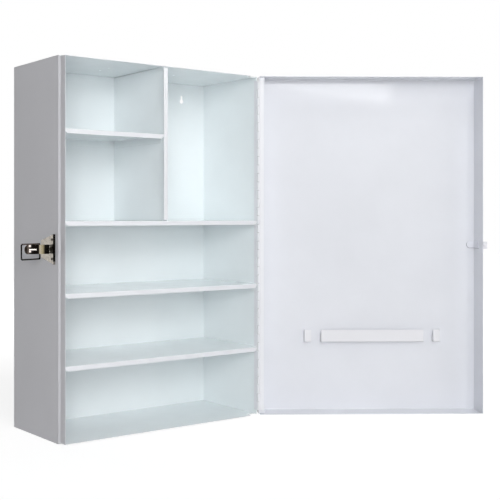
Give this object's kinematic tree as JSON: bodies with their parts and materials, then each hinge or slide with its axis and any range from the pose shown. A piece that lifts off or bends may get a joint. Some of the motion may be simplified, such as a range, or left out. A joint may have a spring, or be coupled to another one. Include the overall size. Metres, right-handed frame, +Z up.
{
  "type": "lockable medicine cabinet",
  "caption": "Lockable sheet-steel medicine cabinet for a wall, with shelves, a hinged pan door holding a document ledge, and an over-centre side latch with a key lock.",
  "frame": {"origin": "middle of the case's underside", "axes": "+Z up, +Y out of the back, so the open front faces -Y, and +X towards the door's hinge side"},
  "size_m": [0.8137, 0.3882, 0.6],
  "materials": {
    "white_enamel": "smooth satin white enamel",
    "hinge_enamel": "satin white enamel over a rolled hinge",
    "nickel_plate": "bright nickel plate",
    "zinc_steel": "zinc-plated steel"
  },
  "bodies": {
    "case": {"side_panel_left": "white_enamel", "side_panel_right": "white_enamel", "top_panel": "white_enamel", "bottom_panel": "white_enamel", "back_panel": "white_enamel", "divider_panel": "white_enamel", "shelf_upper": "white_enamel", "shelf_middle": "white_enamel", "shelf_lower": "white_enamel", "shelf_small": "white_enamel", "hinge_leaf_frame": "hinge_enamel", "hinge_pin": "zinc_steel", "latch_base": "nickel_plate", "latch_rivets": "zinc_steel", "lever_pin": "zinc_steel", "lock_cylinder": "nickel_plate"},
    "door": {"hinge_leaf_door": "hinge_enamel", "door_panel": "white_enamel", "document_bar": "white_enamel", "document_clip_left": "white_enamel", "document_clip_right": "white_enamel", "strike_plate": "nickel_plate", "strike_backing": "white_enamel", "strike_rivets": "zinc_steel"},
    "lever": {"latch_lever": "nickel_plate"},
    "loop": {"latch_loop": "nickel_plate"},
    "lock": {"lock_plug": "zinc_steel"}
  },
  "joints": [
    {"name": "door_swing", "type": "hinge", "parent": "case", "child": "door", "pos_m": [0.2005, -0.0745, 0.3], "axis": [0, 0, 1], "range_deg": [-146, 34]},
    {"name": "lever_swing", "type": "hinge", "parent": "case", "child": "lever", "pos_m": [-0.208, -0.0415, 0.3], "axis": [0, 0, 1], "range_deg": [-90, 15]},
    {"name": "loop_swing", "type": "hinge", "parent": "lever", "child": "loop", "pos_m": [-0.217, -0.0385, 0.3], "axis": [0, 0, 1], "range_deg": [-26.25, 157.5]},
    {"name": "lock_turn", "type": "hinge", "parent": "case", "child": "lock", "pos_m": [-0.203, -0.05135, 0.3], "axis": [-1, 0, 0], "range_deg": [0, 90]}
  ],
  "couplings": [
    {"joint": "loop_swing", "follows": "lever_swing", "ratio": -1.75}
  ]
}
